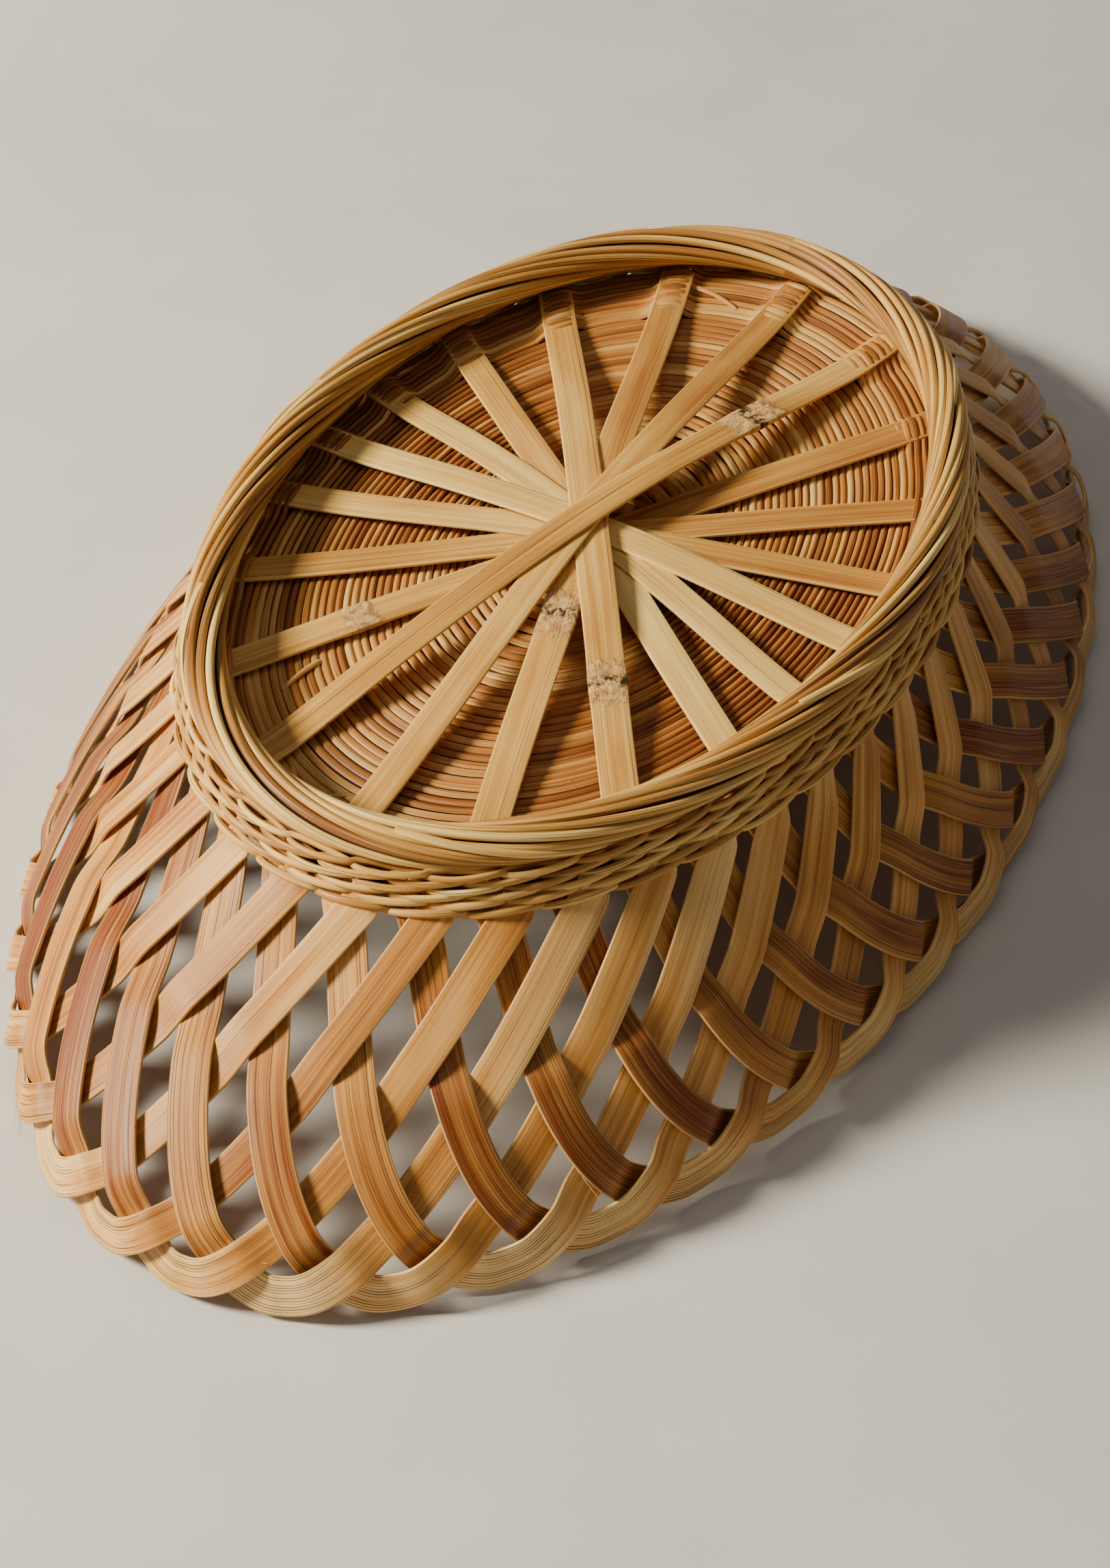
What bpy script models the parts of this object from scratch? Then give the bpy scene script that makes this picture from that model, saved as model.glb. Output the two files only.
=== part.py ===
"""Oval openwork bamboo basket, lying mouth down on the floor with its foot ring up.

Metres, +Z up. The long axis is X. The mouth loops touch z = 0 and the foot ring is on top.
"""

import math

import bpy
import numpy as np

# Overall shape.
RIM_HALF_LENGTH = 0.2000
RIM_HALF_WIDTH = 0.1130
NECK_HALF_LENGTH = 0.1277
NECK_HALF_WIDTH = 0.0850
NECK_HEIGHT = 0.0585
TOTAL_HEIGHT = 0.0760
BOWL_TURN = 1.55
BOWL_POWER = 1.35

# Looped wall strips.
LOOP_COUNT = 40
STRIP_WIDTH = 0.0080
STRIP_THICKNESS = 0.0007
STRIP_OFFSET = 0.0012
LOOP_REACH = 2.68
LOOP_ROUNDNESS = 0.80
FIRST_SHIFT = 0.18
MEET_HALF = 0.215
REST_SHIFT = 0.08
# How far round the oval the first loop starts, in pitches, and the turn of the mouth on the foot.
LOOP_PHASE = 0.83
MOUTH_TWIST = 0.04
# Side of the wall that the right arm takes at each crossing, from the mouth to the foot.
RIGHT_ARM_SIDES = (1, -1, -1, 1, 1)

# Base disc and its diametral strips.
BASE_HALF_LENGTH = 0.1242
BASE_HALF_WIDTH = 0.0815
BASE_BOTTOM = 0.0595
BASE_TOP = 0.0622
SPOKE_WIDTH = 0.0080
SPOKE_THICKNESS = 0.0006
SPOKE_STEP = 0.0010
SPOKE_REACH = 0.955
# Spokes by position round the base, from the one nearest the base to the outermost one.
SPOKE_STACK = (5, 6, 7, 10, 9, 8, 2, 1, 3, 4)
# Direction of each spoke from the long axis, in degrees, by its position round the base.
SPOKE_DIRECTIONS = (31.0, 14.0, -1.5, -17.5, -35.0, -55.5, -77.0, -95.0, -113.0, -131.0)
SPOKE_SECTIONS = 14
EDGE_INNER = 0.930
EDGE_OUTER = 0.995
EDGE_BOTTOM = 0.0639
EDGE_TOP = 0.0648

# Foot ring.
BORDER_HALF_LENGTH = 0.1203
BORDER_HALF_WIDTH = 0.0792
BORDER_RADIUS = 0.0055
BORDER_CANES = 3
BORDER_TURNS = 8
CANE_RADIUS = 0.00235
CANE_SECTIONS = 64
CANE_SIDES = 5
TWINE_RADIUS = 0.00120
TWINE_ROWS = 3
TWINE_FIRST = 0.0604
TWINE_STEP = 0.0026
TWINE_HALF_LENGTH = 0.1264
TWINE_HALF_WIDTH = 0.0841
TWINE_SECTIONS = 40
TWINE_SIDES = 5

OVAL_SAMPLES = 1441


def clear_scene():
    for old in list(bpy.data.objects):
        bpy.data.objects.remove(old, do_unlink=True)


def material(name, colour, roughness):
    made = bpy.data.materials.new(name)
    made.use_nodes = True
    shader = made.node_tree.nodes["Principled BSDF"]
    shader.inputs["Base Color"].default_value = (*colour, 1.0)
    shader.inputs["Roughness"].default_value = roughness
    shader.inputs["Metallic"].default_value = 0.0
    return made


def add_node(name, points, faces, colour, roughness, smooth):
    mesh = bpy.data.meshes.new(name)
    mesh.from_pydata([tuple(float(value) for value in point) for point in points], [], faces)
    mesh.validate()
    for polygon in mesh.polygons:
        polygon.use_smooth = smooth
    mesh.materials.append(material(name + "_material", colour, roughness))
    made = bpy.data.objects.new(name, mesh)
    bpy.context.scene.collection.objects.link(made)
    return made


def oval_angles(half_length, half_width):
    """Arc-length share along an oval, and the angle that each share belongs to."""
    angles = np.linspace(0.0, 2.0 * math.pi, OVAL_SAMPLES)
    speed = np.hypot(half_length * np.sin(angles), half_width * np.cos(angles))
    lengths = np.concatenate([[0.0], np.cumsum((speed[1:] + speed[:-1]) / 2.0)])
    return lengths / lengths[-1], angles


NECK_SHARES, NECK_ANGLES = oval_angles(NECK_HALF_LENGTH, NECK_HALF_WIDTH)


def neck_angle(share):
    turns = math.floor(share)
    return float(np.interp(share - turns, NECK_SHARES, NECK_ANGLES)) + 2.0 * math.pi * turns


def wall_point(angle, drop):
    """A point of the bowl: drop 0 is the neck under the foot, and drop 1 is the mouth."""
    spread = (math.sin(BOWL_TURN * drop) / math.sin(BOWL_TURN)) ** BOWL_POWER
    angle = angle + MOUTH_TWIST * drop
    length = NECK_HALF_LENGTH + (RIM_HALF_LENGTH - NECK_HALF_LENGTH) * spread
    width = NECK_HALF_WIDTH + (RIM_HALF_WIDTH - NECK_HALF_WIDTH) * spread
    return np.array([length * math.cos(angle), width * math.sin(angle), NECK_HEIGHT * (1.0 - drop)])


def wall_slopes(angle, drop):
    step = 1e-4
    along = (wall_point(angle + step, drop) - wall_point(angle - step, drop)) / (2.0 * step)
    down = (wall_point(angle, drop + step) - wall_point(angle, drop)) / step
    return along, down


def wall_normal(angle, drop):
    along, down = wall_slopes(angle, drop)
    normal = np.cross(down, along)
    return normal / np.linalg.norm(normal)


def loop_drop(shift):
    """How far down the wall the middle line of a loop is, at a shift counted in loop pitches."""
    shift = max(abs(shift), REST_SHIFT)
    lowest = 1.0 - 0.5 * STRIP_WIDTH / NECK_HEIGHT
    start = math.hypot(REST_SHIFT, LOOP_ROUNDNESS)
    full = math.hypot(LOOP_REACH, LOOP_ROUNDNESS) - start
    return lowest * (1.0 - (math.hypot(shift, LOOP_ROUNDNESS) - start) / full)


def loop_place(index, shift):
    """Angle round the bowl and drop of one loop's middle line at that shift."""
    return neck_angle((index + LOOP_PHASE + shift) / LOOP_COUNT), max(loop_drop(shift), 0.0)


def loop_stations():
    """(shift, side) pairs along one loop, from its left end to its right end."""
    arm = [(REST_SHIFT, None), (FIRST_SHIFT, 0)]
    arm.append((0.5, 0))
    for crossing in range(1, len(RIGHT_ARM_SIDES)):
        here = 0.5 * crossing
        if RIGHT_ARM_SIDES[crossing] == RIGHT_ARM_SIDES[crossing - 1]:
            arm.append((here + 0.25, crossing))
        else:
            arm.append((here + MEET_HALF, crossing - 1))
            arm.append((here + 0.5 - MEET_HALF, crossing))
        arm.append((here + 0.5, crossing))
    arm.append((LOOP_REACH, len(RIGHT_ARM_SIDES) - 1))
    right = [(shift, 0 if crossing is None else RIGHT_ARM_SIDES[crossing]) for shift, crossing in arm]
    left = [(-shift, -side) for shift, side in reversed(right)]
    return left + right


def loop_strip(index, stations):
    points = []
    top = 0.5 * STRIP_THICKNESS
    for shift, side in stations:
        angle, drop = loop_place(index, shift)
        before = wall_point(*loop_place(index, shift - 1e-3))
        after = wall_point(*loop_place(index, shift + 1e-3))
        forward = (after - before) / np.linalg.norm(after - before)
        across = np.cross(forward, wall_normal(angle, drop))
        along, down = wall_slopes(angle, drop)
        basis = np.stack([along, down], axis=1)
        turn, fall = np.linalg.lstsq(basis, across * 0.5 * STRIP_WIDTH, rcond=None)[0]
        for sign in (-1.0, 1.0):
            edge_angle = angle + sign * turn
            edge_drop = drop + sign * fall
            if abs(shift) == LOOP_REACH:
                edge_angle = angle - sign * along_cut(forward, along, down) * math.copysign(1.0, fall)
                edge_drop = 0.0
            edge_drop = min(max(edge_drop, 0.0), 1.0)
            foot = wall_point(edge_angle, edge_drop)
            normal = wall_normal(edge_angle, edge_drop)
            for offset in (side * STRIP_OFFSET - top, side * STRIP_OFFSET + top):
                point = foot + normal * offset
                if abs(shift) == REST_SHIFT and edge_drop > 0.98:
                    point[2] = 0.0
                points.append(point)
    return points


def along_cut(forward, along, down):
    """Half the angle that the strip's level end takes round the neck."""
    rise = down / np.linalg.norm(down)
    slant = abs(float(np.dot(forward, rise)))
    return 0.5 * STRIP_WIDTH / max(slant, 0.4) / np.linalg.norm(along)


def strip_faces(sections):
    """Each section has four points: left inner, left outer, right inner, right outer."""
    faces = [(0, 1, 3, 2)]
    for section in range(sections - 1):
        here = 4 * section
        there = here + 4
        faces.append((here, there, there + 1, here + 1))
        faces.append((here + 1, there + 1, there + 3, here + 3))
        faces.append((here + 3, there + 3, there + 2, here + 2))
        faces.append((here + 2, there + 2, there, here))
    last = 4 * (sections - 1)
    faces.append((last, last + 2, last + 3, last + 1))
    return faces


def face_outwards(points, faces):
    """Turns every face round if the body is inside out."""
    volume = 0.0
    for face in faces:
        for corner in range(1, len(face) - 1):
            first, second, third = (np.asarray(points[face[place]]) for place in (0, corner, corner + 1))
            volume += float(np.dot(first, np.cross(second, third)))
    if volume < 0.0:
        return [tuple(reversed(face)) for face in faces]
    return faces


def split_quads(faces):
    """Cuts every four-sided face in two along the diagonal from its second corner to its fourth."""
    halves = []
    for first, second, third, fourth in faces:
        halves.append((fourth, first, second))
        halves.append((fourth, second, third))
    return halves


def build_wall():
    stations = loop_stations()
    quads = strip_faces(len(stations))
    for index in range(LOOP_COUNT):
        points = loop_strip(index, stations)
        faces = split_quads(face_outwards(points, quads))
        tone = 0.5 + 0.5 * math.sin(2.4 * index)
        colour = (0.56 + 0.08 * tone, 0.33 + 0.07 * tone, 0.15 + 0.05 * tone)
        add_node(f"wall_loop_{index + 1:02d}", points, faces, colour, 0.45, False)


def ring_faces(sections, sides):
    faces = []
    for section in range(sections):
        after = (section + 1) % sections
        for side in range(sides):
            beside = (side + 1) % sides
            here = section * sides
            there = after * sides
            faces.append((here + side, there + side, there + beside, here + beside))
    return faces


def oval_ring(half_length, half_width, profile, sections):
    """Sweeps a closed profile of (outward, z) points round an oval."""
    points = []
    for section in range(sections):
        angle = 2.0 * math.pi * section / sections
        normal = np.array([half_width * math.cos(angle), half_length * math.sin(angle)])
        normal /= np.linalg.norm(normal)
        for outward, height in profile:
            points.append((
                half_length * math.cos(angle) + normal[0] * outward,
                half_width * math.sin(angle) + normal[1] * outward,
                height,
            ))
    return points, ring_faces(sections, len(profile))


def build_base():
    sections = 64
    points = []
    for height in (BASE_BOTTOM, BASE_TOP):
        for section in range(sections):
            angle = 2.0 * math.pi * section / sections
            points.append((BASE_HALF_LENGTH * math.cos(angle), BASE_HALF_WIDTH * math.sin(angle), height))
    faces = [tuple(reversed(range(sections))), tuple(range(sections, 2 * sections))]
    for section in range(sections):
        after = (section + 1) % sections
        faces.append((section, after, sections + after, sections + section))
    add_node("base_weave", points, face_outwards(points, faces), (0.42, 0.22, 0.10), 0.6, False)

    length = BASE_HALF_LENGTH * EDGE_OUTER
    width = BASE_HALF_WIDTH * EDGE_OUTER
    inward = -(EDGE_OUTER - EDGE_INNER) * BASE_HALF_WIDTH
    profile = ((0.0, EDGE_BOTTOM), (0.0, EDGE_TOP), (inward, EDGE_TOP), (inward, EDGE_BOTTOM))
    points, faces = oval_ring(length, width, profile, sections)
    add_node("base_edge_rows", points, face_outwards(points, faces), (0.50, 0.29, 0.13), 0.6, False)


def spoke_points(place, level):
    """One flat strip across the base, bowed up to its level in the stack."""
    angle = math.radians(SPOKE_DIRECTIONS[place - 1])
    direction = np.array([math.cos(angle), math.sin(angle)])
    reach = SPOKE_REACH / math.hypot(direction[0] / BASE_HALF_LENGTH, direction[1] / BASE_HALF_WIDTH)
    side = np.array([-direction[1], direction[0]])
    low = BASE_TOP + 0.0003
    high = low + level * SPOKE_STEP
    points = []
    for section in range(SPOKE_SECTIONS + 1):
        place_along = -1.0 + 2.0 * section / SPOKE_SECTIONS
        bow = (1.0 - place_along * place_along) ** 1.4 if abs(place_along) < 1.0 else 0.0
        height = low + (high - low) * bow
        centre = direction * reach * place_along
        for sign in (-1.0, 1.0):
            edge = centre + sign * side * 0.5 * SPOKE_WIDTH
            points.append((edge[0], edge[1], height))
            points.append((edge[0], edge[1], height + SPOKE_THICKNESS))
    return points


def build_spokes():
    faces = strip_faces(SPOKE_SECTIONS + 1)
    for level, place in enumerate(SPOKE_STACK):
        points = spoke_points(place, level)
        tone = 0.5 + 0.5 * math.sin(1.7 * place)
        colour = (0.60 + 0.08 * tone, 0.38 + 0.07 * tone, 0.19 + 0.05 * tone)
        add_node(f"base_spoke_{place:02d}", points, face_outwards(points, faces), colour, 0.45, False)


def build_border():
    middle = TOTAL_HEIGHT - BORDER_RADIUS
    swing = BORDER_RADIUS - CANE_RADIUS
    half_length = BORDER_HALF_LENGTH
    half_width = BORDER_HALF_WIDTH
    shares, angles = oval_angles(half_length, half_width)
    for cane in range(BORDER_CANES):
        def centre(share):
            angle = float(np.interp(share % 1.0, shares, angles))
            normal = np.array([half_width * math.cos(angle), half_length * math.sin(angle), 0.0])
            normal /= np.linalg.norm(normal)
            roll = 2.0 * math.pi * (BORDER_TURNS * share + cane / BORDER_CANES)
            ring = np.array([half_length * math.cos(angle), half_width * math.sin(angle), middle])
            outward = normal * math.cos(roll) + np.array([0.0, 0.0, 1.0]) * math.sin(roll)
            return ring + outward * swing, outward

        points = []
        for section in range(CANE_SECTIONS):
            share = section / CANE_SECTIONS
            here, outward = centre(share)
            ahead, unused = centre(share + 1e-4)
            behind, unused = centre(share - 1e-4)
            forward = (ahead - behind) / np.linalg.norm(ahead - behind)
            first = outward - forward * np.dot(outward, forward)
            first /= np.linalg.norm(first)
            second = np.cross(forward, first)
            for side in range(CANE_SIDES):
                around = 2.0 * math.pi * side / CANE_SIDES
                points.append(here + CANE_RADIUS * (first * math.cos(around) + second * math.sin(around)))
        faces = face_outwards(points, ring_faces(CANE_SECTIONS, CANE_SIDES))
        add_node(f"foot_border_{cane + 1}", points, faces, (0.62, 0.40, 0.20), 0.45, True)


def build_twining():
    for row in range(TWINE_ROWS):
        height = TWINE_FIRST + TWINE_STEP * row
        profile = []
        for side in range(TWINE_SIDES):
            around = 2.0 * math.pi * side / TWINE_SIDES
            profile.append((TWINE_RADIUS * math.cos(around), height + TWINE_RADIUS * math.sin(around)))
        points, faces = oval_ring(TWINE_HALF_LENGTH, TWINE_HALF_WIDTH, profile, TWINE_SECTIONS)
        faces = face_outwards(points, faces)
        add_node(f"foot_twining_{row + 1}", points, faces, (0.60, 0.37, 0.18), 0.5, True)


clear_scene()
build_wall()
build_base()
build_spokes()
build_border()
build_twining()
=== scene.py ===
"""Looks of the oval openwork bamboo basket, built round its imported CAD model.

Every bamboo piece is one or more strands: a profile swept along a path. The paths are worked out
from the CAD boxes and from the few numbers that describe the weave.
"""

import math

import bpy
import numpy as np
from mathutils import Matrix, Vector


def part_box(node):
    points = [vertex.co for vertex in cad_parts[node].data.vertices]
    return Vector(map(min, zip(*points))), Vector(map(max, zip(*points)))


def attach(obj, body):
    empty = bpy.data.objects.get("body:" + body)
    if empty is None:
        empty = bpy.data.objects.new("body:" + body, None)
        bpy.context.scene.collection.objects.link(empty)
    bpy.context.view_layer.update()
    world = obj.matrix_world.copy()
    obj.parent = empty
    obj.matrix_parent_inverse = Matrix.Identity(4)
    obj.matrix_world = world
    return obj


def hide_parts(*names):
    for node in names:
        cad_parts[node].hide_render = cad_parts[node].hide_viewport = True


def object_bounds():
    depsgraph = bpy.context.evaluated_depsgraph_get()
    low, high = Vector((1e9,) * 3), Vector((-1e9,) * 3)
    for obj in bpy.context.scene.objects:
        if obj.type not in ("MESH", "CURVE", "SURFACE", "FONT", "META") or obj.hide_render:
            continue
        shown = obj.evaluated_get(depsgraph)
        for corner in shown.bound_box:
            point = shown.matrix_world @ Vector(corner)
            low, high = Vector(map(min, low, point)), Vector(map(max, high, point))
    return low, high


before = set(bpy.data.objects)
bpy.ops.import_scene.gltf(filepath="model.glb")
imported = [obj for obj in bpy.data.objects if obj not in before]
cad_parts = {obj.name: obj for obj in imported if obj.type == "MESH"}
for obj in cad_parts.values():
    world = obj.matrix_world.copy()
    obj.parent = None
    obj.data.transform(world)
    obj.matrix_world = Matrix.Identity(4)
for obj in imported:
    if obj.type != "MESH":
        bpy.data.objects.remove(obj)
CAD_LOW, CAD_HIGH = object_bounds()
BODY = "root"
MM = 0.001
UPWARD = np.array([[0.0, 0.0, 1.0]])

# The weave of the wall, as in the CAD model. Reach, roundness and phase are counted in loop pitches,
# and the twist is in radians.
LOOP_COUNT = 40
LOOP_REACH = 2.68
LOOP_ROUNDNESS = 0.80
LOOP_PHASE = 0.83
MOUTH_TWIST = 0.04
BOWL_TURN = 1.55
BOWL_POWER = 1.35
RIGHT_ARM_SIDES = (1, -1, -1, 1, 1)

# Sizes read from the frame.
WALL_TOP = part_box("wall_loop_01")[1].z
TWINE_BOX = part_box("foot_twining_1")[1]
BASE_LOW, BASE_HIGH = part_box("base_weave")
BORDER_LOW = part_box("foot_border_1")[0].z
BORDER_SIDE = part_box("foot_border_1")[1]
RIM_HALF_LENGTH = CAD_HIGH.x - 1.2 * MM
RIM_HALF_WIDTH = CAD_HIGH.y - 1.4 * MM
NECK_HALF_LENGTH = TWINE_BOX.x
NECK_HALF_WIDTH = TWINE_BOX.y - 0.3 * MM
NECK_HEIGHT = WALL_TOP
BORDER_RADIUS = 0.5 * (CAD_HIGH.z - BORDER_LOW)
BORDER_HALF_LENGTH = BORDER_SIDE.x - BORDER_RADIUS
BORDER_HALF_WIDTH = BORDER_SIDE.y - BORDER_RADIUS

# Wall strips. A strip's middle line is off the wall by STRIP_OFFSET, outside or inside. That offset
# grows by the share MOUTH_SPREAD at the first crossing above the mouth, and shrinks by FOOT_CLOSING
# where the arms reach the foot.
STRIP_WIDTH = 8.9 * MM
STRIP_THICKNESS = 0.9 * MM
STRIP_OFFSET = 1.10 * MM
MOUTH_SPREAD = 0.45
FOOT_CLOSING = 0.45
# Raises the loops, so that their wavering edges stay above the plane the basket lies on.
MOUTH_LIFT = 1.15 * MM
# Arms that end on this side of the basket are cut to a longer point.
POINTED_TURN = math.radians(-50.0)
# One loop in this many has a lifted hair.
SPLINTER_EVERY = 4
SPLINTER_ROWS = 14
SPLINTER_HALF_WIDTH = 0.13 * MM
SPLINTER_REACH = 3.2 * MM
SPLINTER_LIFT = 1.6 * MM
# The stakes lean in by up to this above the neck.
STAKE_INSET = 2.2 * MM

# Base. Directions are in degrees, and the stack lists the spokes from the lowest up.
SPOKE_DIRECTIONS = (31.0, 14.0, -1.5, -17.5, -35.0, -55.5, -77.0, -95.0, -113.0, -131.0)
SPOKE_STACK = (5, 6, 7, 10, 9, 8, 2, 1, 3, 4)
SPOKE_WIDTH = 8.3 * MM
SPOKE_THICKNESS = 0.9 * MM
SPOKE_REACH = 0.955
RIB_REACH = 0.975
RIB_HALF_WIDTH = 3.3 * MM
WEAVE_ROWS = 40
WEAVE_INNER = 0.16
WEAVE_OUTER = 0.988
WEAVE_HALF_THICKNESS = 0.60 * MM
WEAVE_WAVE = 0.30 * MM
UNDER_HALF_THICKNESS = 0.50 * MM
# Rows beyond the share COVER_START of the radius lie over the spokes' ends. Towards COVER_TURN that
# starts earlier, by up to COVER_FAR.
COVER_START = 0.90
COVER_FAR = 0.10
COVER_TURN = math.radians(25.0)
COVER_RISE = 2.6 * MM
# The weave is palest in this direction and the opposite one.
PALE_TURN = math.radians(160.0)
# Loose cane ends: direction in degrees and share of the radius, at one end and at the other.
SPLICES = (
    (164.5, 0.95, 175.0, 0.83), (176.0, 0.93, 166.0, 0.86), (150.5, 0.70, 153.0, 0.80),
    (15.0, 0.93, 4.5, 0.85),
)

# Foot.
BORDER_CANES = 12
BORDER_TURNS = 3
BORDER_ENDS = (0.06, 0.23, 0.36, 0.52, 0.68, 0.87)
BORDER_CANE_HALF_WIDTH = 1.06 * MM
BORDER_CANE_HALF_DEPTH = 1.02 * MM
BORDER_CANE_INSET = 1.25 * MM
BORDER_CORE_INSET = 2.4 * MM
TWINE_DROPS = (0.018, -0.014, -0.045, -0.076, -0.106, -0.136)
TWINE_HALF_WIDTH = 0.92 * MM
TWINE_HALF_DEPTH = 0.66 * MM
# How far the canes of a pair swing out and in round the stakes. The top rows are tighter.
TWINE_SWING = 1.85 * MM
TWINE_TOP_SWING = 1.45 * MM
TWINE_TOP_ROWS = 2

OVAL_SAMPLES = 1441
rng = np.random.default_rng(11)


# ---------------------------------------------------------------- strands and meshes

# A split strip across its grain, with rounded edges and a slightly crowned face.
FLAT_PROFILE = (
    (-1.0, 0.55), (-0.975, 0.88), (-0.93, 1.0), (-0.45, 1.06), (0.0, 1.08), (0.45, 1.06), (0.93, 1.0),
    (0.975, 0.88), (1.0, 0.55), (1.0, -0.55), (0.975, -0.88), (0.93, -1.0), (0.0, -1.0), (-0.93, -1.0),
    (-0.975, -0.88), (-1.0, -0.55),
)


def round_profile(sides):
    turns = [-2.0 * math.pi * side / sides for side in range(sides)]
    return tuple((math.cos(turn), math.sin(turn)) for turn in turns)


def unit(vectors):
    return vectors / np.linalg.norm(vectors, axis=-1, keepdims=True)


def smooth_step(low, high, value):
    share = np.clip((value - low) / (high - low), 0.0, 1.0)
    return share * share * (3.0 - 2.0 * share)


def wobble(value, size, waves=4):
    """A smooth random curve of about that size, with waves cycles over a value from 0 to 1."""
    total = np.zeros_like(value)
    for order in range(1, waves + 1):
        wave = np.sin(2.0 * math.pi * (order * value + rng.random()))
        total += wave * rng.normal() / math.sqrt(order)
    return size * total / math.sqrt(waves)


class Strands:
    """Collects swept strands, then makes one mesh piece of them."""

    def __init__(self, name):
        self.name = name
        self.points = []
        self.faces = []
        self.strand = []
        self.marks = {"side": [], "tone": [], "split": [], "knot": []}
        self.count = 0

    def sweep(self, path, across, outward, half_width, half_thickness, profile,
              tone=0.5, split=0.0, knot=0.0, capped=True):
        """Sweeps a profile along a path, which closes on itself where it isn't capped.

        The sizes, tone, split and knot may vary along the path.
        """
        rows = len(path)
        shape = np.array(profile)
        sides = len(shape)
        widths = np.broadcast_to(np.asarray(half_width, float), (rows,))
        depths = np.broadcast_to(np.asarray(half_thickness, float), (rows,))
        reach = widths[:, None] * shape[None, :, 0]
        rise = depths[:, None] * shape[None, :, 1]
        points = path[:, None, :] + across[:, None, :] * reach[:, :, None]
        points = points + outward[:, None, :] * rise[:, :, None]
        if not capped:
            points[-1] = points[0]
        steps = np.linalg.norm(np.diff(path, axis=0), axis=1)
        along = np.concatenate([[0.0], np.cumsum(steps)])
        seed = np.full((rows, sides), rng.random())
        strand = np.stack([np.repeat(along[:, None], sides, 1), reach, seed], -1)
        self.points.append(points.reshape(-1, 3))
        self.strand.append(strand.reshape(-1, 3))
        self.marks["side"].append(np.tile(shape[:, 0], rows))
        for mark, value in (("tone", tone), ("split", split), ("knot", knot)):
            spread = np.broadcast_to(np.asarray(value, float), (rows,))
            self.marks[mark].append(np.repeat(spread, sides))
        start = self.count
        for row in range(rows - 1):
            here = start + row * sides
            there = here + sides
            for side in range(sides):
                beside = (side + 1) % sides
                self.faces.append((here + side, here + beside, there + beside, there + side))
        if capped:
            last = start + (rows - 1) * sides
            self.faces.append(tuple(start + side for side in reversed(range(sides))))
            self.faces.append(tuple(last + side for side in range(sides)))
        self.count += rows * sides

    def piece(self, material, slot, *nodes, sharp=50.0):
        mesh = bpy.data.meshes.new(self.name)
        mesh.from_pydata(np.concatenate(self.points).tolist(), [], self.faces)
        mesh.attributes.new("strand", "FLOAT_VECTOR", "POINT").data.foreach_set(
            "vector", np.concatenate(self.strand).astype(np.float32).ravel())
        for mark, values in self.marks.items():
            mesh.attributes.new(mark, "FLOAT", "POINT").data.foreach_set(
                "value", np.concatenate(values).astype(np.float32))
        mesh.shade_smooth()
        mesh.set_sharp_from_angle(angle=math.radians(sharp))
        mesh.materials.append(material)
        made = bpy.data.objects.new(self.name, mesh)
        bpy.context.scene.collection.objects.link(made)
        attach(made, BODY)
        if nodes:
            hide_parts(*nodes)
        return made


def path_frames(path, outward_guess):
    """Unit directions across a path and outward from it, outward being as near the guess as it can."""
    forward = unit(np.gradient(path, axis=0))
    outward = outward_guess - forward * np.sum(forward * outward_guess, -1, keepdims=True)
    outward = unit(outward)
    return np.cross(forward, outward), outward


# ---------------------------------------------------------------- materials


class Nodes:
    """A short way to write a material's node tree."""

    def __init__(self, name):
        self.material = bpy.data.materials.new(name)
        self.material.use_nodes = True
        self.tree = self.material.node_tree
        self.shader = self.tree.nodes["Principled BSDF"]

    def add(self, kind, inputs=(), **settings):
        node = self.tree.nodes.new(kind)
        for name, value in settings.items():
            setattr(node, name, value)
        for place, value in dict(inputs).items():
            if isinstance(value, bpy.types.NodeSocket):
                self.tree.links.new(value, node.inputs[place])
            else:
                node.inputs[place].default_value = value
        return node

    def mark(self, name):
        return self.add("ShaderNodeAttribute", attribute_name=name)

    def math(self, operation, first, second=0.0, clamp=False):
        node = self.add("ShaderNodeMath", {0: first, 1: second}, operation=operation, use_clamp=clamp)
        return node.outputs[0]

    def ramp(self, value, low, high, start=0.0, end=1.0):
        node = self.add("ShaderNodeMapRange", {0: value, 1: low, 2: high, 3: start, 4: end})
        return node.outputs[0]

    def stretch(self, vector, scale):
        return self.add("ShaderNodeVectorMath", {0: vector, 1: scale}, operation="MULTIPLY").outputs[0]

    def noise(self, vector, scale, detail=3.0, roughness=0.55):
        settings = {"Vector": vector, "Scale": scale, "Detail": detail, "Roughness": roughness}
        return self.add("ShaderNodeTexNoise", settings).outputs["Fac"]

    def mix(self, share, first, second):
        node = self.add("ShaderNodeMix", data_type="RGBA")
        for place, value in ((0, share), (6, first), (7, second)):
            if isinstance(value, bpy.types.NodeSocket):
                self.tree.links.new(value, node.inputs[place])
            else:
                node.inputs[place].default_value = value
        return node.outputs[2]


def colour(red, green, blue):
    """A colour given as display values from 0 to 255."""
    shares = [value / 255.0 for value in (red, green, blue)]
    linear = [((share + 0.055) / 1.055) ** 2.4 if share > 0.04 else share / 12.92 for share in shares]
    return (*linear, 1.0)


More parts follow.
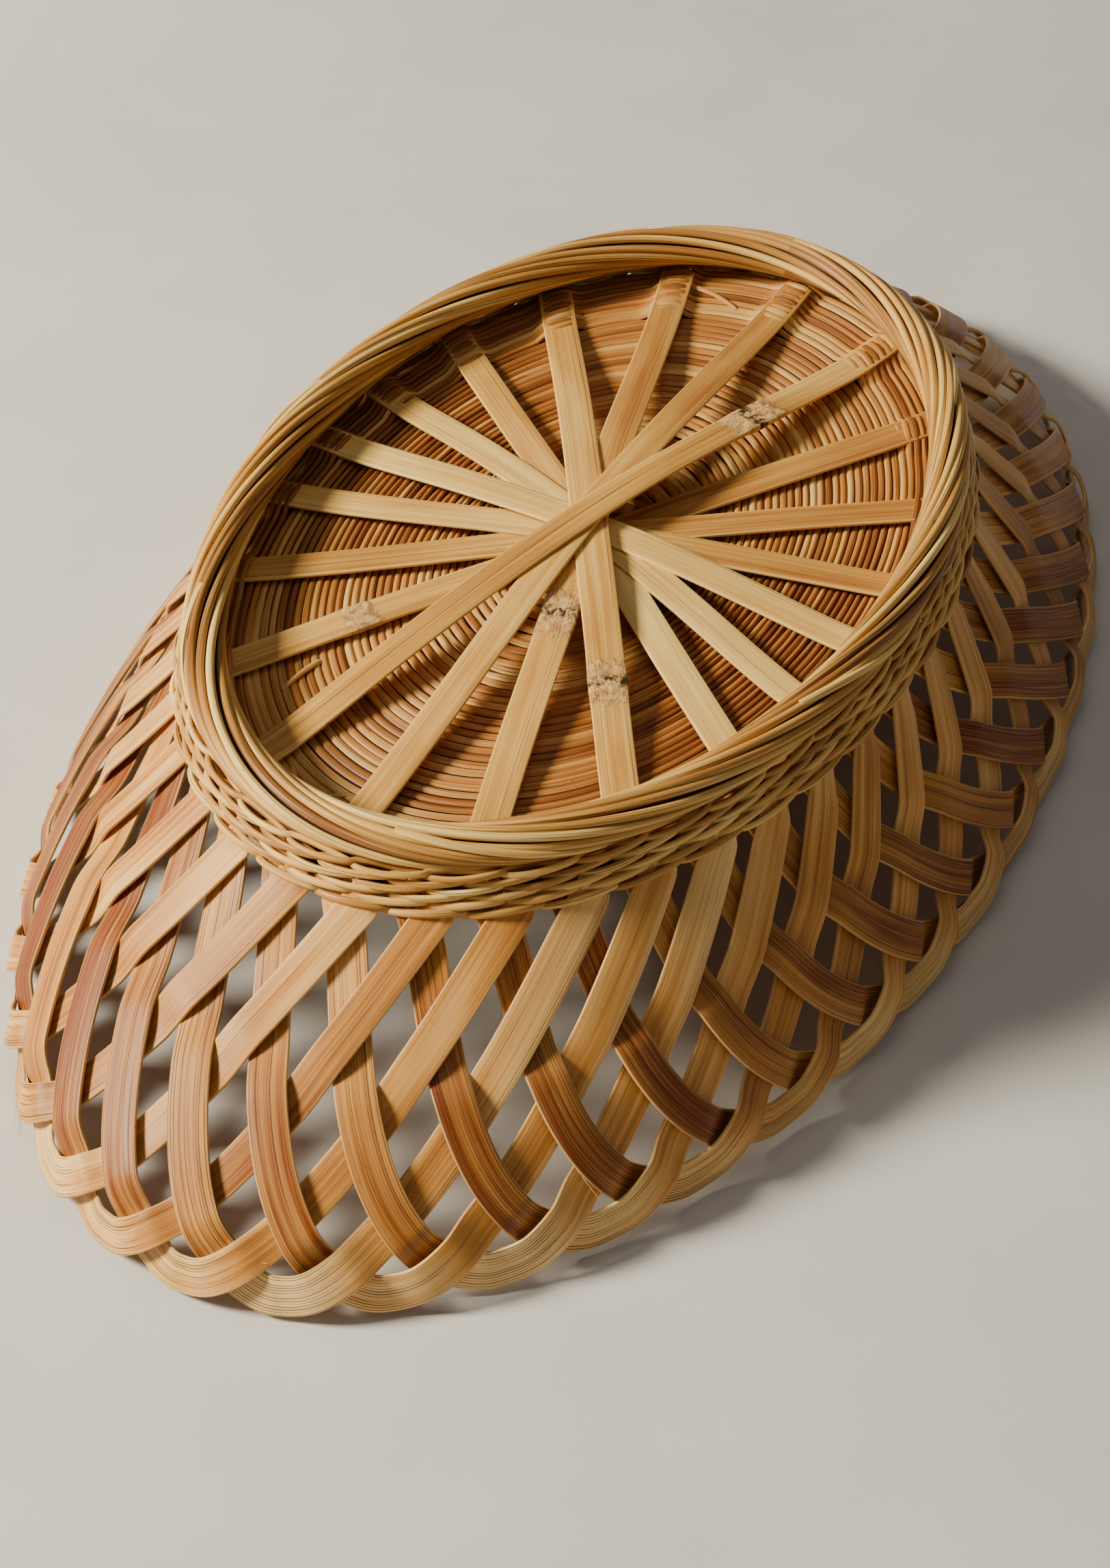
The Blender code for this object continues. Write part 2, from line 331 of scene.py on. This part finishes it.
def bamboo(name, pale, middle, deep, dark, roughness, groove_pitch, edge=0.0, relief=0.00022):
    """Split bamboo: long fibres, tone that drifts along the strip, paler cut edges that are partly the
    pale cut fibre and partly a painted highlight, and thin dark grooves.
    """
    made = Nodes(name)
    strand = made.mark("strand").outputs["Vector"]
    side = made.mark("side").outputs["Fac"]
    tone = made.mark("tone").outputs["Fac"]
    split = made.mark("split").outputs["Fac"]
    knot = made.mark("knot").outputs["Fac"]

    drift = made.noise(made.stretch(strand, (22.0, 90.0, 37.0)), 1.0, 2.0)
    fibre = made.noise(made.stretch(strand, (26.0, 2600.0, 91.0)), 1.0, 3.0, 0.6)
    streak = made.noise(made.stretch(strand, (9.0, 700.0, 53.0)), 1.0, 2.0)
    spread = made.math("ADD", made.math("MULTIPLY", drift, 0.8), made.math("MULTIPLY", streak, 0.85))
    shade = made.math("ADD", made.math("SUBTRACT", spread, 0.82), tone, True)
    base = made.mix(made.ramp(shade, 0.0, 0.5), deep, middle)
    base = made.mix(made.ramp(shade, 0.45, 1.0), base, pale)
    base = made.mix(made.ramp(fibre, 0.50, 0.78, 0.0, 0.45), base, deep)
    base = made.mix(made.ramp(fibre, 0.46, 0.24, 0.0, 0.38), base, pale)
    # Paler edges of the strip: partly the pale cut fibre, partly a painted highlight where the cut side
    # catches the light.
    edge_highlight = made.ramp(made.math("ABSOLUTE", side), 0.90, 0.975, 0.0, edge)
    base = made.mix(edge_highlight, base, pale)

    parts = made.add("ShaderNodeSeparateXYZ", {0: strand}).outputs
    bend = made.noise(made.stretch(strand, (14.0, 120.0, 29.0)), 1.0, 1.0)
    bent = made.math("MULTIPLY", bend, 1.6)
    place = made.math("ADD", made.math("DIVIDE", parts[1], groove_pitch), bent)
    cell = made.math("FLOOR", place)
    own = made.math("MULTIPLY", parts[2], 91.0)
    key = made.add("ShaderNodeCombineXYZ", {0: cell, 1: own}).outputs[0]
    white = made.add("ShaderNodeTexWhiteNoise", {"Vector": key}, noise_dimensions="2D")
    chance = white.outputs["Value"]
    off_middle = made.math("SUBTRACT", made.math("FRACT", place), 0.5)
    line = made.ramp(made.math("ABSOLUTE", off_middle), 0.17, 0.06)
    along = made.math("MULTIPLY", parts[0], 24.0)
    reach = made.add("ShaderNodeCombineXYZ", {0: along, 1: cell, 2: parts[2]}).outputs[0]
    fade = made.ramp(made.noise(made.stretch(reach, (1.0, 7.3, 43.0)), 1.0, 1.0), 0.36, 0.50)
    present = made.ramp(made.math("ADD", chance, split), 0.92, 1.22)
    strength = made.math("MULTIPLY", made.math("MULTIPLY", line, fade), present)
    base = made.mix(made.math("MULTIPLY", strength, 0.80), base, dark)

    fleck = made.noise(made.stretch(strand, (420.0, 3200.0, 17.0)), 1.0, 1.0)
    base = made.mix(made.ramp(fleck, 0.72, 0.80, 0.0, 0.55), base, dark)

    patch = made.noise(made.stretch(strand, (380.0, 460.0, 13.0)), 1.0, 5.0, 0.72)
    torn = made.ramp(made.math("ADD", knot, made.math("MULTIPLY", patch, 0.7)), 0.62, 0.80)
    skin = made.mix(made.ramp(patch, 0.36, 0.60), colour(158, 104, 54), colour(232, 188, 120))
    base = made.mix(torn, base, skin)
    ring = made.math("MULTIPLY", made.ramp(knot, 0.88, 0.97), made.ramp(patch, 0.58, 0.46))
    crack = made.math("MULTIPLY", made.ramp(patch, 0.36, 0.30), torn)
    base = made.mix(made.math("MAXIMUM", ring, crack), base, colour(52, 34, 20))

    shader = made.shader
    made.tree.links.new(base, shader.inputs["Base Color"])
    sheen_noise = made.ramp(streak, 0.3, 0.7, roughness - 0.06, roughness + 0.10)
    made.tree.links.new(made.math("ADD", sheen_noise, made.math("MULTIPLY", torn, 0.3), True),
                        shader.inputs["Roughness"])
    height = made.math("MULTIPLY", fibre, 0.22)
    height = made.math("SUBTRACT", height, made.math("MULTIPLY", strength, 1.3))
    height = made.math("ADD", height, made.math("MULTIPLY", made.math("MULTIPLY", patch, torn), 3.5))
    bump = made.add("ShaderNodeBump", {"Height": height, "Distance": relief, "Strength": 0.9})
    made.tree.links.new(bump.outputs["Normal"], shader.inputs["Normal"])
    shader.inputs["Specular IOR Level"].default_value = 0.30
    return made.material


def plain_floor():
    made = Nodes("pale_floor")
    place = made.add("ShaderNodeTexCoord").outputs["Object"]
    grain = made.noise(place, 14.0, 4.0)
    tint = made.mix(made.ramp(grain, 0.35, 0.65), colour(214, 209, 202), colour(222, 218, 212))
    made.tree.links.new(tint, made.shader.inputs["Base Color"])
    made.shader.inputs["Roughness"].default_value = 0.75
    return made.material


WALL_BAMBOO = bamboo("wall_bamboo", colour(254, 211, 138), colour(212, 146, 66), colour(128, 60, 16),
                     colour(48, 22, 9), 0.46, 0.00066, 0.45)
SPOKE_BAMBOO = bamboo("spoke_bamboo", colour(248, 212, 128), colour(214, 158, 76), colour(160, 98, 42),
                      colour(84, 46, 22), 0.42, 0.00090, 0.60)
WEAVE_CANE = bamboo("weave_cane", colour(238, 196, 116), colour(190, 122, 54), colour(116, 58, 24),
                    colour(46, 22, 12), 0.44, 0.00060, 0.0, 0.00010)
BORDER_CANE = bamboo("border_cane", colour(250, 216, 130), colour(212, 156, 78), colour(134, 82, 36),
                     colour(46, 25, 12), 0.38, 0.00060, 0.0, 0.00012)
# The hidden pieces (the ribs, the layer below the rows and the border's core) are coloured dark as
# painted shade, so that the gaps between the canes read dark.
SHADE_PAINTED_BAMBOO = bamboo("hidden_bamboo_painted_shade", colour(140, 88, 46), colour(94, 54, 26), colour(58, 31, 15),
                       colour(30, 17, 10), 0.60, 0.00070)


# ---------------------------------------------------------------- wall


def oval_shares(half_length, half_width):
    angles = np.linspace(0.0, 2.0 * math.pi, OVAL_SAMPLES)
    speed = np.hypot(half_length * np.sin(angles), half_width * np.cos(angles))
    lengths = np.concatenate([[0.0], np.cumsum((speed[1:] + speed[:-1]) / 2.0)])
    return lengths / lengths[-1], angles


NECK_SHARES, NECK_ANGLES = oval_shares(NECK_HALF_LENGTH, NECK_HALF_WIDTH)


def neck_angle(share):
    """Angle of a point that is that share of the way round the neck."""
    turns = np.floor(share)
    return np.interp(share - turns, NECK_SHARES, NECK_ANGLES) + 2.0 * math.pi * turns


def wall_point(angle, drop):
    """Points of the bowl: drop 0 is the neck, 1 the mouth, and below 0 the foot's stakes."""
    down = np.clip(drop, 0.0, 1.0)
    up = np.clip(-drop, 0.0, None)
    spread = (np.sin(BOWL_TURN * down) / math.sin(BOWL_TURN)) ** BOWL_POWER
    turned = angle + MOUTH_TWIST * drop
    inward = STAKE_INSET * (1.0 - np.exp(-up / 0.06))
    length = NECK_HALF_LENGTH + (RIM_HALF_LENGTH - NECK_HALF_LENGTH) * spread - inward
    width = NECK_HALF_WIDTH + (RIM_HALF_WIDTH - NECK_HALF_WIDTH) * spread - inward
    return np.stack([length * np.cos(turned), width * np.sin(turned), NECK_HEIGHT * (1.0 - drop)], -1)


def wall_normal(angle, drop):
    step = 1e-4
    along = wall_point(angle + step, drop) - wall_point(angle - step, drop)
    down = wall_point(angle, drop + step) - wall_point(angle, drop - step)
    return unit(np.cross(down, along))


def loop_drop(shift):
    """How far down the wall the middle line of a loop is, at a shift counted in loop pitches."""
    lowest = 1.0 - (0.5 * STRIP_WIDTH + MOUTH_LIFT) / NECK_HEIGHT
    full = math.hypot(LOOP_REACH, LOOP_ROUNDNESS) - LOOP_ROUNDNESS
    return lowest * (1.0 - (np.hypot(shift, LOOP_ROUNDNESS) - LOOP_ROUNDNESS) / full)


def arm_side(shift):
    """Which side of the wall a loop is on: from 1, outside, to -1, inside. It is 0 at the mouth."""
    away = np.abs(shift)
    side = RIGHT_ARM_SIDES[0] * smooth_step(0.0, 0.36, away)
    for crossing in range(1, len(RIGHT_ARM_SIDES)):
        change = RIGHT_ARM_SIDES[crossing] - RIGHT_ARM_SIDES[crossing - 1]
        middle = 0.5 * crossing + 0.25
        side = side + change * smooth_step(middle - 0.13, middle + 0.13, away)
    return side * np.sign(shift)


def splinter(strands, path, across, facing, width):
    """A hair of bamboo that has lifted from the edge of a strip."""
    start = int(rng.integers(50, 120))
    rows = slice(start, start + SPLINTER_ROWS)
    share = np.linspace(0.0, 1.0, SPLINTER_ROWS)
    edge = 1.0 if rng.random() < 0.5 else -1.0
    away = width[rows] * 0.96 + SPLINTER_REACH * share ** 1.7
    lift = SPLINTER_LIFT * share ** 2
    hair = path[rows] + across[rows] * (edge * away)[:, None] + facing[rows] * lift[:, None]
    sideways, outward = path_frames(hair, facing[rows])
    thin = SPLINTER_HALF_WIDTH * (1.0 - 0.7 * share)
    strands.sweep(hair, sideways, outward, thin, thin, round_profile(5), 0.8)


def build_wall():
    for index in range(LOOP_COUNT):
        strands = Strands(f"strip_loop_{index + 1:02d}")
        left_end = LOOP_REACH + 0.17 + 0.02 * rng.random()
        right_end = LOOP_REACH + 0.085 + 0.02 * rng.random()
        shift = np.linspace(-left_end, right_end, 170)
        share = (shift + left_end) / (left_end + right_end)
        place = index + LOOP_PHASE + wobble(share, 0.025, 2)
        angle = neck_angle((place + shift) / LOOP_COUNT)
        drop = loop_drop(shift)
        normal = wall_normal(angle, drop)
        spread = 1.0 + MOUTH_SPREAD * np.exp(-((np.abs(shift) - 0.5) / 0.3) ** 2)
        spread = spread - FOOT_CLOSING * smooth_step(2.2, 2.7, np.abs(shift))
        offset = arm_side(shift) * spread * STRIP_OFFSET
        path = wall_point(angle, drop) + normal * offset[:, None]
        across, outward = path_frames(path, normal)
        tilt = wobble(share, 0.03, 3)
        turned = across * np.cos(tilt)[:, None] + outward * np.sin(tilt)[:, None]
        facing = outward * np.cos(tilt)[:, None] - across * np.sin(tilt)[:, None]
        width = 0.5 * STRIP_WIDTH * (1.0 + rng.normal() * 0.03 + wobble(share, 0.012, 5))
        pointed = smooth_step(0.1, 0.7, math.cos(float(angle[-1]) - POINTED_TURN))
        cut_length = 0.11 + 0.45 * pointed * rng.random()
        cut = 0.30 + 0.45 * rng.random()
        cut = cut * np.clip((shift - right_end + cut_length) / cut_length, 0.0, 1.0)
        path = path - turned * (width * cut)[:, None]
        width = width * (1.0 - cut)
        arm = smooth_step(-0.3, 0.3, shift)
        near_mouth = 1.0 - smooth_step(0.25, 0.75, np.abs(shift))
        near_foot = smooth_step(1.2, 2.4, np.abs(shift))
        tone = 0.12 + 0.14 * near_foot + 0.24 * arm + 0.60 * near_mouth * (1.0 - 0.35 * arm)
        tone = tone + rng.normal() * 0.10 + wobble(share, 0.06, 4) + 0.35 * cut
        split = 0.38 + 0.52 * near_mouth - 0.24 * arm * (1.0 - near_mouth) + 0.2 * cut
        strands.sweep(path, turned, facing, width, 0.5 * STRIP_THICKNESS, FLAT_PROFILE, tone, split)
        if index % SPLINTER_EVERY == 0:
            splinter(strands, path, turned, facing, width)
        strands.piece(WALL_BAMBOO, "wall_strip", f"wall_loop_{index + 1:02d}")


# ---------------------------------------------------------------- base


def base_radius(angle):
    """Distance from the middle to the edge of the base, in a direction."""
    return 1.0 / np.hypot(np.cos(angle) / BASE_HIGH.x, np.sin(angle) / BASE_HIGH.y)


def flat_path(angle, radius, height):
    """Points round the middle of the base, at a distance from it and a height."""
    return np.stack([radius * np.cos(angle), radius * np.sin(angle), height], -1)


# The bamboo node of a spoke: its place along, from -1 to 1, its half length and its strength.
SPOKE_KNOTS = {
    1: (-0.55, 0.060, 1.0),
    2: (-0.30, 0.060, 1.0),
    4: (0.52, 0.075, 1.0),
    5: (-0.62, 0.045, 0.8),
}
# Tone of each spoke at the end its direction points to, and at the other end.
SPOKE_TONES = (
    (0.48, 0.50), (0.34, 0.46), (0.32, 0.36), (0.42, 0.34), (0.22, 0.42),
    (0.28, 0.42), (0.32, 0.66), (0.66, 0.74), (0.72, 0.70), (0.74, 0.52),
)


def build_spokes():
    low = BASE_HIGH.z + 0.3 * MM
    step = (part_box("base_spoke_04")[1].z - low - 0.6 * MM) / (len(SPOKE_STACK) - 1)
    for level, place in enumerate(SPOKE_STACK):
        strands = Strands(f"spoke_strip_{place:02d}")
        direction = math.radians(SPOKE_DIRECTIONS[place - 1])
        reach = SPOKE_REACH * float(base_radius(direction))
        share = np.linspace(-1.0, 1.0, 150)
        along = 0.5 + 0.5 * share
        bow = np.clip(1.0 - (share / 0.89) ** 2, 0.0, 1.0) ** 1.45
        height = low + 0.5 * SPOKE_THICKNESS + level * step * bow
        sideways = wobble(along, 0.5 * MM, 2)
        path = np.stack([
            reach * share * math.cos(direction) - sideways * math.sin(direction),
            reach * share * math.sin(direction) + sideways * math.cos(direction),
            height,
        ], -1)
        across, outward = path_frames(path, UPWARD)
        knot = np.zeros_like(share)
        if place in SPOKE_KNOTS:
            centre, length, strength = SPOKE_KNOTS[place]
            knot = strength * np.exp(-((share - centre) / length) ** 2)
        width = 1.0 + rng.normal() * 0.035 + wobble(along, 0.02, 3) + 0.06 * knot
        width = 0.5 * SPOKE_WIDTH * width
        thickness = 0.5 * SPOKE_THICKNESS * (1.0 + knot * (0.8 + wobble(12.0 * share, 0.5, 5)))
        far_tone, near_tone = SPOKE_TONES[place - 1]
        tone = near_tone + (far_tone - near_tone) * smooth_step(-0.4, 0.4, share)
        tone = tone + wobble(along, 0.08, 3)
        strands.sweep(path, across, outward, width, thickness, FLAT_PROFILE, tone, 0.14, knot)
        strands.piece(SPOKE_BAMBOO, "base_strip", f"base_spoke_{place:02d}")


def rib_angles():
    one_side = sorted(math.radians(value) % math.pi for value in SPOKE_DIRECTIONS)
    return np.array(one_side + [value + math.pi for value in one_side])


def rib_phase(angle):
    """Counts the ribs passed up to an angle, as a smooth number."""
    ribs = rib_angles()
    marks = np.concatenate([[ribs[-1] - 2.0 * math.pi], ribs, [ribs[0] + 2.0 * math.pi]])
    return np.interp(np.mod(angle, 2.0 * math.pi), marks, np.arange(-1, len(ribs) + 1))


def weave_row(strands, row, scale):
    """One row of the base: a thin cane, over and under the ribs and over the ends of the spokes."""
    angle = np.linspace(0.0, 2.0 * math.pi, 100 + int(240 * scale)) + 0.37 * row
    middle = 0.5 * (BASE_LOW.z + BASE_HIGH.z)
    phase = rib_phase(angle)
    rib = np.round(phase)
    edge = base_radius(angle)
    share = np.linspace(0.0, 1.0, len(angle))
    radius = edge * scale + wobble(share, 0.10 * MM, 9)
    distance = np.abs(phase - rib) * 2.0 * math.pi / len(rib_angles()) * radius
    stitch = np.where(np.mod(rib + row, 2.0) < 0.5, 1.0, -1.0) * np.exp(-(distance / (2.8 * MM)) ** 2)
    cover = COVER_START - COVER_FAR * np.clip(np.cos(angle - COVER_TURN), 0.0, 1.0)
    covered = smooth_step(cover - 0.012, cover + 0.012, scale)
    over_spoke = np.exp(-(distance / (5.2 * MM)) ** 4) * covered
    height = middle + WEAVE_WAVE * stitch * (1.0 - 0.5 * over_spoke) + COVER_RISE * over_spoke
    height = height + wobble(share, 0.10 * MM, 12)
    path = flat_path(angle, radius, height)
    across, outward = path_frames(path, UPWARD)
    pitch = edge * (WEAVE_OUTER - WEAVE_INNER) / WEAVE_ROWS
    width = 0.445 * pitch * (1.0 + rng.normal() * 0.04 + wobble(share, 0.04, 12))
    tone = 0.40 + 0.13 * np.cos(2.0 * (angle - PALE_TURN))
    tone = tone + rng.normal() * 0.13 + wobble(share, 0.20, 11)
    strands.sweep(path, across, outward, width, WEAVE_HALF_THICKNESS, round_profile(6), tone, 0.3,
                  capped=False)


def splice(strands, first_turn, first_scale, last_turn, last_scale):
    """The loose end of a cane, which lies across the rows beside it."""
    share = np.linspace(0.0, 1.0, 24)
    angle = math.radians(first_turn) + math.radians(last_turn - first_turn) * share
    radius = base_radius(angle) * (first_scale + (last_scale - first_scale) * share ** 1.3)
    arch = np.sin(math.pi * np.clip(share * 0.9 + 0.05, 0.0, 1.0))
    height = 0.5 * (BASE_LOW.z + BASE_HIGH.z) + 1.0 * MM * arch
    path = flat_path(angle, radius, height)
    across, outward = path_frames(path, UPWARD)
    width = 0.95 * MM * (1.0 - 0.3 * share)
    strands.sweep(path, across, outward, width, 0.55 * MM, round_profile(6), 0.74, 0.3)


def under_row(strands, scale):
    """A row of the layer below, coloured dark as painted shade, which shows as the dark line between two
    rows.
    """
    angle = np.linspace(0.0, 2.0 * math.pi, 121)
    radius = base_radius(angle) * scale
    height = np.full_like(angle, BASE_LOW.z + 0.5 * MM)
    path = flat_path(angle, radius, height)
    across, outward = path_frames(path, UPWARD)
    width = 0.50 * base_radius(angle) * (WEAVE_OUTER - WEAVE_INNER) / WEAVE_ROWS
    strands.sweep(path, across, outward, width, UNDER_HALF_THICKNESS, round_profile(6), 0.3, 0.3,
                  capped=False)


def row_scale(row):
    """Share of the base's radius at which a row lies."""
    return WEAVE_INNER + (WEAVE_OUTER - WEAVE_INNER) * row / WEAVE_ROWS


def build_base():
    strands = Strands("base_weave_rows")
    for row in range(WEAVE_ROWS):
        weave_row(strands, row, row_scale(row + 0.5))
    for ends in SPLICES:
        splice(strands, *ends)
    strands.piece(WEAVE_CANE, "weave", "base_weave", "base_edge_rows", sharp=80.0)

    strands = Strands("base_under_rows")
    for row in range(WEAVE_ROWS):
        under_row(strands, row_scale(row + 1.0))
    strands.piece(SHADE_PAINTED_BAMBOO, "weave", sharp=80.0)

    strands = Strands("base_ribs")
    low = BASE_LOW.z + 0.45 * MM
    for order, direction in enumerate(rib_angles()[:len(SPOKE_DIRECTIONS)]):
        reach = RIB_REACH * float(base_radius(direction))
        share = np.linspace(-1.0, 1.0, 60)
        height = low + (order - 4.5) * 0.16 * MM * np.exp(-(share / 0.2) ** 2)
        path = flat_path(direction, reach * share, height)
        across, outward = path_frames(path, UPWARD)
        thin = 0.12 * MM + 0.26 * MM * smooth_step(0.1, 0.4, np.abs(share))
        strands.sweep(path, across, outward, RIB_HALF_WIDTH, thin, FLAT_PROFILE, 0.45, 0.2)
    # The ribs take the dark bamboo: painted shade beneath the rows.
    strands.piece(SHADE_PAINTED_BAMBOO, "weave")


# ---------------------------------------------------------------- foot


def border_line(angle):
    """Points of the middle line of the border, and the level directions outward from them."""
    middle = np.full_like(angle, CAD_HIGH.z - BORDER_RADIUS)
    level = np.zeros_like(angle)
    cosine = np.cos(angle)
    sine = np.sin(angle)
    ring = np.stack([BORDER_HALF_LENGTH * cosine, BORDER_HALF_WIDTH * sine, middle], -1)
    return ring, unit(np.stack([BORDER_HALF_WIDTH * cosine, BORDER_HALF_LENGTH * sine, level], -1))


def build_border():
    shares, angles = oval_shares(BORDER_HALF_LENGTH, BORDER_HALF_WIDTH)
    share = np.linspace(0.0, 1.0, 361)
    ring, normal = border_line(np.interp(share, shares, angles))
    for cane in range(BORDER_CANES):
        start = (cane + 0.10 * rng.normal()) / BORDER_CANES
        roll = -2.0 * math.pi * (BORDER_TURNS * share + start) + wobble(share, 0.08, 9)
        outward = normal * np.cos(roll)[:, None] + UPWARD * np.sin(roll)[:, None]
        waver = np.clip(wobble(share, 0.40 * MM, 11), -0.9 * MM, 0.6 * MM)
        depth = BORDER_RADIUS - BORDER_CANE_INSET + waver
        path = ring + outward * depth[:, None]
        across, facing = path_frames(path, outward)
        width = BORDER_CANE_HALF_WIDTH * (1.0 + rng.normal() * 0.06 + wobble(share, 0.05, 8))
        tone = 0.48 + rng.normal() * 0.14 + wobble(share, 0.26, 9)
        strands = Strands(f"border_cane_{cane + 1:02d}")
        strands.sweep(path, across, facing, width, BORDER_CANE_HALF_DEPTH, round_profile(10), tone, 0.32,
                      capped=False)
        nodes = [f"foot_border_{cane + 1}"] if cane < 3 else []
        strands.piece(BORDER_CANE, "border_cane", *nodes, sharp=80.0)

    strands = Strands("border_ends")
    for start in BORDER_ENDS:
        span = np.linspace(start, start + 0.07, 40)
        ease = np.linspace(0.0, 1.0, 40)
        place, side = border_line(np.interp(np.mod(span, 1.0), shares, angles))
        roll = 0.9 - 1.9 * ease + 0.6 * rng.random()
        outward = side * np.cos(roll)[:, None] + UPWARD * np.sin(roll)[:, None]
        depth = BORDER_RADIUS - 0.9 * MM + 0.5 * MM * np.sin(math.pi * ease)
        path = place + outward * depth[:, None]
        across, facing = path_frames(path, outward)
        width = 1.1 * MM * (1.0 - 0.35 * ease)
        strands.sweep(path, across, facing, width, 0.8 * MM, round_profile(10), 0.70, 0.32)
    strands.piece(BORDER_CANE, "border_cane", sharp=60.0)

    # The core takes the dark bamboo: painted shade that shows in the gaps between the border's canes.
    core = Strands("border_core")
    radius = BORDER_RADIUS - BORDER_CORE_INSET
    core.sweep(ring, normal, np.repeat(UPWARD, len(ring), 0), radius, radius, round_profile(12), 0.2, 0.2,
               capped=False)
    core.piece(SHADE_PAINTED_BAMBOO, "border_cane", sharp=80.0)


def build_twining():
    share = np.linspace(0.0, 1.0, 801)
    angle = neck_angle(np.minimum(share, 1.0 - 1e-9))
    for row, drop in enumerate(TWINE_DROPS):
        strands = Strands(f"twining_row_{row + 1}")
        level = np.full_like(share, drop)
        stakes = wall_point(angle, level)
        normal = wall_normal(angle, level)
        swing = TWINE_SWING if row < len(TWINE_DROPS) - TWINE_TOP_ROWS else TWINE_TOP_SWING
        for second in (0.0, 1.0):
            phase = math.pi * (share * LOOP_COUNT - LOOP_PHASE - 0.5 + second + 0.5 * row)
            beat = np.cos(phase)
            out = swing * np.sign(beat) * np.abs(beat) ** 0.55 + wobble(share, 0.08 * MM, 20)
            rise = 0.50 * MM * np.sin(phase) + wobble(share, 0.12 * MM, 20)
            path = stakes + normal * out[:, None] + UPWARD * rise[:, None]
            across, facing = path_frames(path, normal)
            tone = 0.48 + rng.normal() * 0.12 + wobble(share, 0.28, 16)
            width = TWINE_HALF_WIDTH * (1.0 + wobble(share, 0.07, 20))
            strands.sweep(path, across, facing, width, TWINE_HALF_DEPTH, round_profile(8), tone, 0.3,
                          capped=False)
        nodes = [f"foot_twining_{row + 1}"] if row < 3 else []
        strands.piece(BORDER_CANE, "twining_cane", *nodes, sharp=80.0)


# ---------------------------------------------------------------- stage

CAMERA_AZIMUTH = math.radians(-63.4)
CAMERA_ELEVATION = math.radians(43.3)
CAMERA_DISTANCE = 0.852
CAMERA_AIM = Vector((-0.0206, -0.0013, 0.0))
CAMERA_LENS = 78.4
CAMERA_SENSOR = 36.0
FLOOR_RADII = (0.0, 0.4, 0.8, 1.6, 3.2, 6.4)
FLOOR_SIDES = 24
FLOOR_GAP = 0.4 * MM


def build_stage():
    mesh = bpy.data.meshes.new("floor")
    points = []
    faces = []
    for radius in FLOOR_RADII:
        for place in range(FLOOR_SIDES):
            turn = 2.0 * math.pi * place / FLOOR_SIDES
            points.append((radius * math.cos(turn), radius * math.sin(turn), CAD_LOW.z - FLOOR_GAP))
    for ring in range(len(FLOOR_RADII) - 1):
        for place in range(FLOOR_SIDES):
            beside = (place + 1) % FLOOR_SIDES
            here = ring * FLOOR_SIDES
            there = here + FLOOR_SIDES
            faces.append((here + place, there + place, there + beside, here + beside))
    mesh.from_pydata(points, [], faces)
    mesh.materials.append(plain_floor())
    floor = bpy.data.objects.new("floor", mesh)
    bpy.context.scene.collection.objects.link(floor)


def camera_axes():
    back = Vector((
        math.sin(CAMERA_AZIMUTH) * math.cos(CAMERA_ELEVATION),
        -math.cos(CAMERA_AZIMUTH) * math.cos(CAMERA_ELEVATION),
        math.sin(CAMERA_ELEVATION),
    ))
    right = Vector((math.cos(CAMERA_AZIMUTH), math.sin(CAMERA_AZIMUTH), 0.0))
    return back, right


def add_camera():
    back, right = camera_axes()
    data = bpy.data.cameras.new("camera")
    data.lens = CAMERA_LENS
    data.sensor_width = CAMERA_SENSOR
    camera = bpy.data.objects.new("camera", data)
    camera.location = CAMERA_AIM + back * CAMERA_DISTANCE
    camera.rotation_euler = back.to_track_quat("Z", "Y").to_euler()
    bpy.context.scene.collection.objects.link(camera)
    bpy.context.scene.camera = camera


def add_light(name, offset, size, power, tint):
    """A square soft light. offset is (right, away, up) as the camera sees it, in metres."""
    back, right = camera_axes()
    away = Vector((-back.x, -back.y, 0.0)).normalized()
    data = bpy.data.lights.new(name, "AREA")
    data.shape = "SQUARE"
    data.size = size
    data.energy = power
    data.color = tint
    light = bpy.data.objects.new(name, data)
    light.location = right * offset[0] + away * offset[1] + Vector((0.0, 0.0, offset[2]))
    light.rotation_euler = light.location.to_track_quat("Z", "Y").to_euler()
    bpy.context.scene.collection.objects.link(light)


def add_lights():
    add_light("key_light", (-1.28, -0.12, 0.88), 0.34, 54.0, (1.0, 0.94, 0.77))
    add_light("fill_light", (1.4, -0.8, 1.2), 1.6, 1.1, (1.0, 0.98, 0.95))
    add_light("top_light", (-0.2, 0.3, 1.9), 1.2, 3.0, (1.0, 0.95, 0.88))
    world = bpy.data.worlds.new("soft_surroundings")
    world.use_nodes = True
    backdrop = world.node_tree.nodes["Background"]
    backdrop.inputs["Color"].default_value = (0.96, 0.93, 0.89, 1.0)
    backdrop.inputs["Strength"].default_value = 0.12
    bpy.context.scene.world = world


build_wall()
build_spokes()
build_base()
build_border()
build_twining()
build_stage()
add_camera()
add_lights()

bpy.context.view_layer.update()
